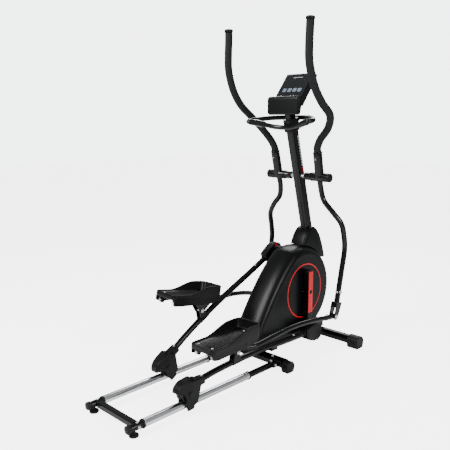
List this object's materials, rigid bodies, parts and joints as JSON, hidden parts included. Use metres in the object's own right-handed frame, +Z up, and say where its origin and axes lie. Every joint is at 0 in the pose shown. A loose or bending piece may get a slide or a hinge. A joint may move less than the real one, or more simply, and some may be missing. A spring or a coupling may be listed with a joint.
{
  "type": "elliptical trainer",
  "caption": "Front-drive elliptical trainer: two pedals on rolling foot bars, linked to swinging arm handles, with a crank housing, mast, pulse bar and console.",
  "frame": {"origin": "on the floor, under the middle of the machine", "axes": "+X to the front of the machine (away from the rider), +Y to the rider's left, +Z up"},
  "size_m": [1.502, 0.6, 1.7171],
  "materials": {
    "paint": "glossy black powder coat on steel tube",
    "plastic": "satin black moulded plastic with a fine grain",
    "cap_plastic": "matt black moulded end caps and rollers",
    "chrome": "bright sleeve on the rails",
    "steel": "plain machined steel",
    "iron": "cast flywheel",
    "rubber": "black rubber",
    "foam": "dark grey closed-cell foam sleeve",
    "screen": "dark glossy display panel",
    "button": "light grey keys"
  },
  "bodies": {
    "frame": {"main_frame": "paint", "mast": "paint", "mast_boot": "plastic", "front_stabilizer": "paint", "front_cap_L": "cap_plastic", "front_cap_R": "cap_plastic", "mid_stabilizer": "paint", "mid_cap_L": "cap_plastic", "mid_cap_R": "cap_plastic", "rail_tube_L": "paint", "rail_tube_R": "paint", "rail_sleeve_L": "chrome", "rail_sleeve_R": "chrome", "rear_crossbar": "paint", "rear_end_cap_L": "cap_plastic", "rear_end_cap_R": "cap_plastic", "housing_shell_L": "plastic", "housing_shell_R": "plastic", "pivot_axle": "steel", "pulse_bar": "paint", "console_housing": "plastic", "console_panel": "screen", "drive_belt": "rubber"},
    "crank": {"crank_axle": "steel", "crank_pulley": "steel", "crank_arm_L": "plastic", "crank_arm_R": "plastic"},
    "flywheel": {"flywheel": "iron"},
    "idler": {"idler_pulley": "plastic"},
    "magnet": {"magnet_bracket": "steel"},
    "carriage_L": {"roller_axle_L": "steel"},
    "roller_L": {"roller_wheel_L": "cap_plastic"},
    "foot_bar_L": {"foot_bar_L": "paint", "roller_cover_L": "plastic", "bearing_cover_L": "plastic"},
    "pedal_L": {"pedal_L": "plastic", "link_arm_L": "paint"},
    "handle_L": {"handle_lower_L": "paint", "handle_grip_L": "foam", "grip_cap_L": "plastic", "hub_cap_L": "plastic"},
    "levelling_foot_L": {"levelling_foot_L": "rubber"},
    "carriage_R": {"roller_axle_R": "steel"},
    "roller_R": {"roller_wheel_R": "cap_plastic"},
    "foot_bar_R": {"foot_bar_R": "paint", "roller_cover_R": "plastic", "bearing_cover_R": "plastic"},
    "pedal_R": {"pedal_R": "plastic", "link_arm_R": "paint"},
    "handle_R": {"handle_lower_R": "paint", "handle_grip_R": "foam", "grip_cap_R": "plastic", "hub_cap_R": "plastic"},
    "levelling_foot_R": {"levelling_foot_R": "rubber"},
    "button_1": {"button_1": "button"},
    "button_2": {"button_2": "button"},
    "button_3": {"button_3": "button"},
    "button_4": {"button_4": "button"},
    "button_5": {"button_5": "button"},
    "button_6": {"button_6": "button"}
  },
  "joints": [
    {"name": "crank_turn", "type": "hinge", "parent": "frame", "child": "crank", "pos_m": [0.485, 0, 0.338], "axis": [0, 1, 0], "range_deg": [0, 90]},
    {"name": "flywheel_spin", "type": "hinge", "parent": "frame", "child": "flywheel", "pos_m": [0.268, 0, 0.235], "axis": [0, 1, 0], "range_deg": [0, 540.01]},
    {"name": "idler_spin", "type": "hinge", "parent": "frame", "child": "idler", "pos_m": [0.33, 0.03, 0.20301], "axis": [0, 1, 0], "range_deg": [-694.3, 0]},
    {"name": "roller_slide_L", "type": "slide", "parent": "frame", "child": "carriage_L", "axis": [1, 0, 0], "range_m": [0, 0.118]},
    {"name": "roller_spin_L", "type": "hinge", "parent": "carriage_L", "child": "roller_L", "pos_m": [-0.31699, 0.142, 0.0913], "axis": [0, 1, 0], "range_deg": [0, 198.45]},
    {"name": "foot_bar_tilt_L", "type": "hinge", "parent": "carriage_L", "child": "foot_bar_L", "pos_m": [-0.31699, 0.142, 0.0913], "axis": [0, 1, 0], "range_deg": [0, 13.54]},
    {"name": "pedal_tilt_L", "type": "hinge", "parent": "foot_bar_L", "child": "pedal_L", "pos_m": [-0.08917, 0.142, 0.3132], "axis": [0, 1, 0], "range_deg": [-21.3, 0]},
    {"name": "handle_swing_L", "type": "hinge", "parent": "frame", "child": "handle_L", "pos_m": [0.515, 0.137, 0.955], "axis": [0, 1, 0], "range_deg": [-13.54, 0]},
    {"name": "roller_slide_R", "type": "slide", "parent": "frame", "child": "carriage_R", "axis": [1, 0, 0], "range_m": [-0.1676, 0]},
    {"name": "roller_spin_R", "type": "hinge", "parent": "carriage_R", "child": "roller_R", "pos_m": [-0.43181, -0.142, 0.0913], "axis": [0, 1, 0], "range_deg": [-282.14, 0]},
    {"name": "foot_bar_tilt_R", "type": "hinge", "parent": "carriage_R", "child": "foot_bar_R", "pos_m": [-0.43181, -0.142, 0.0913], "axis": [0, 1, 0], "range_deg": [-12.68, 0]},
    {"name": "pedal_tilt_R", "type": "hinge", "parent": "foot_bar_R", "child": "pedal_R", "pos_m": [-0.12943, -0.142, 0.18981], "axis": [0, 1, 0], "range_deg": [0, 15.82]},
    {"name": "handle_swing_R", "type": "hinge", "parent": "frame", "child": "handle_R", "pos_m": [0.515, -0.137, 0.955], "axis": [0, 1, 0], "range_deg": [0, 15.65]},
    {"name": "magnet_shift", "type": "slide", "parent": "frame", "child": "magnet", "axis": [0.2588, 0, 0.9659], "range_m": [0, 0.006]},
    {"name": "levelling_foot_turn_L", "type": "hinge", "parent": "frame", "child": "levelling_foot_L", "pos_m": [-0.715, 0.142, 0], "axis": [0, 0, 1], "range_deg": [-180, 180]},
    {"name": "levelling_foot_turn_R", "type": "hinge", "parent": "frame", "child": "levelling_foot_R", "pos_m": [-0.715, -0.142, 0], "axis": [0, 0, 1], "range_deg": [-180, 180]},
    {"name": "button_press_1", "type": "slide", "parent": "frame", "child": "button_1", "axis": [0.7771, 0, -0.6293], "range_m": [0, 0.0015], "stiffness_N_per_m": 400},
    {"name": "button_press_2", "type": "slide", "parent": "frame", "child": "button_2", "axis": [0.7771, 0, -0.6293], "range_m": [0, 0.0015], "stiffness_N_per_m": 400},
    {"name": "button_press_3", "type": "slide", "parent": "frame", "child": "button_3", "axis": [0.7771, 0, -0.6293], "range_m": [0, 0.0015], "stiffness_N_per_m": 400},
    {"name": "button_press_4", "type": "slide", "parent": "frame", "child": "button_4", "axis": [0.7771, 0, -0.6293], "range_m": [0, 0.0015], "stiffness_N_per_m": 400},
    {"name": "button_press_5", "type": "slide", "parent": "frame", "child": "button_5", "axis": [0.7771, 0, -0.6293], "range_m": [0, 0.0015], "stiffness_N_per_m": 400},
    {"name": "button_press_6", "type": "slide", "parent": "frame", "child": "button_6", "axis": [0.7771, 0, -0.6293], "range_m": [0, 0.0015], "stiffness_N_per_m": 400}
  ],
  "couplings": [
    {"joint": "flywheel_spin", "follows": "crank_turn", "ratio": 6},
    {"joint": "idler_spin", "follows": "crank_turn", "ratio": -7.7143},
    {"joint": "roller_slide_L", "follows": "crank_turn", "m_per_rad": 0.074966},
    {"joint": "roller_spin_L", "follows": "crank_turn", "ratio": 2.2049},
    {"joint": "foot_bar_tilt_L", "follows": "crank_turn", "ratio": 0.15032},
    {"joint": "pedal_tilt_L", "follows": "crank_turn", "ratio": -0.23655},
    {"joint": "handle_swing_L", "follows": "crank_turn", "ratio": -0.15033},
    {"joint": "roller_slide_R", "follows": "crank_turn", "m_per_rad": -0.10658},
    {"joint": "roller_spin_R", "follows": "crank_turn", "ratio": -3.1348},
    {"joint": "foot_bar_tilt_R", "follows": "crank_turn", "ratio": -0.14081},
    {"joint": "pedal_tilt_R", "follows": "crank_turn", "ratio": 0.17567},
    {"joint": "handle_swing_R", "follows": "crank_turn", "ratio": 0.17378}
  ]
}
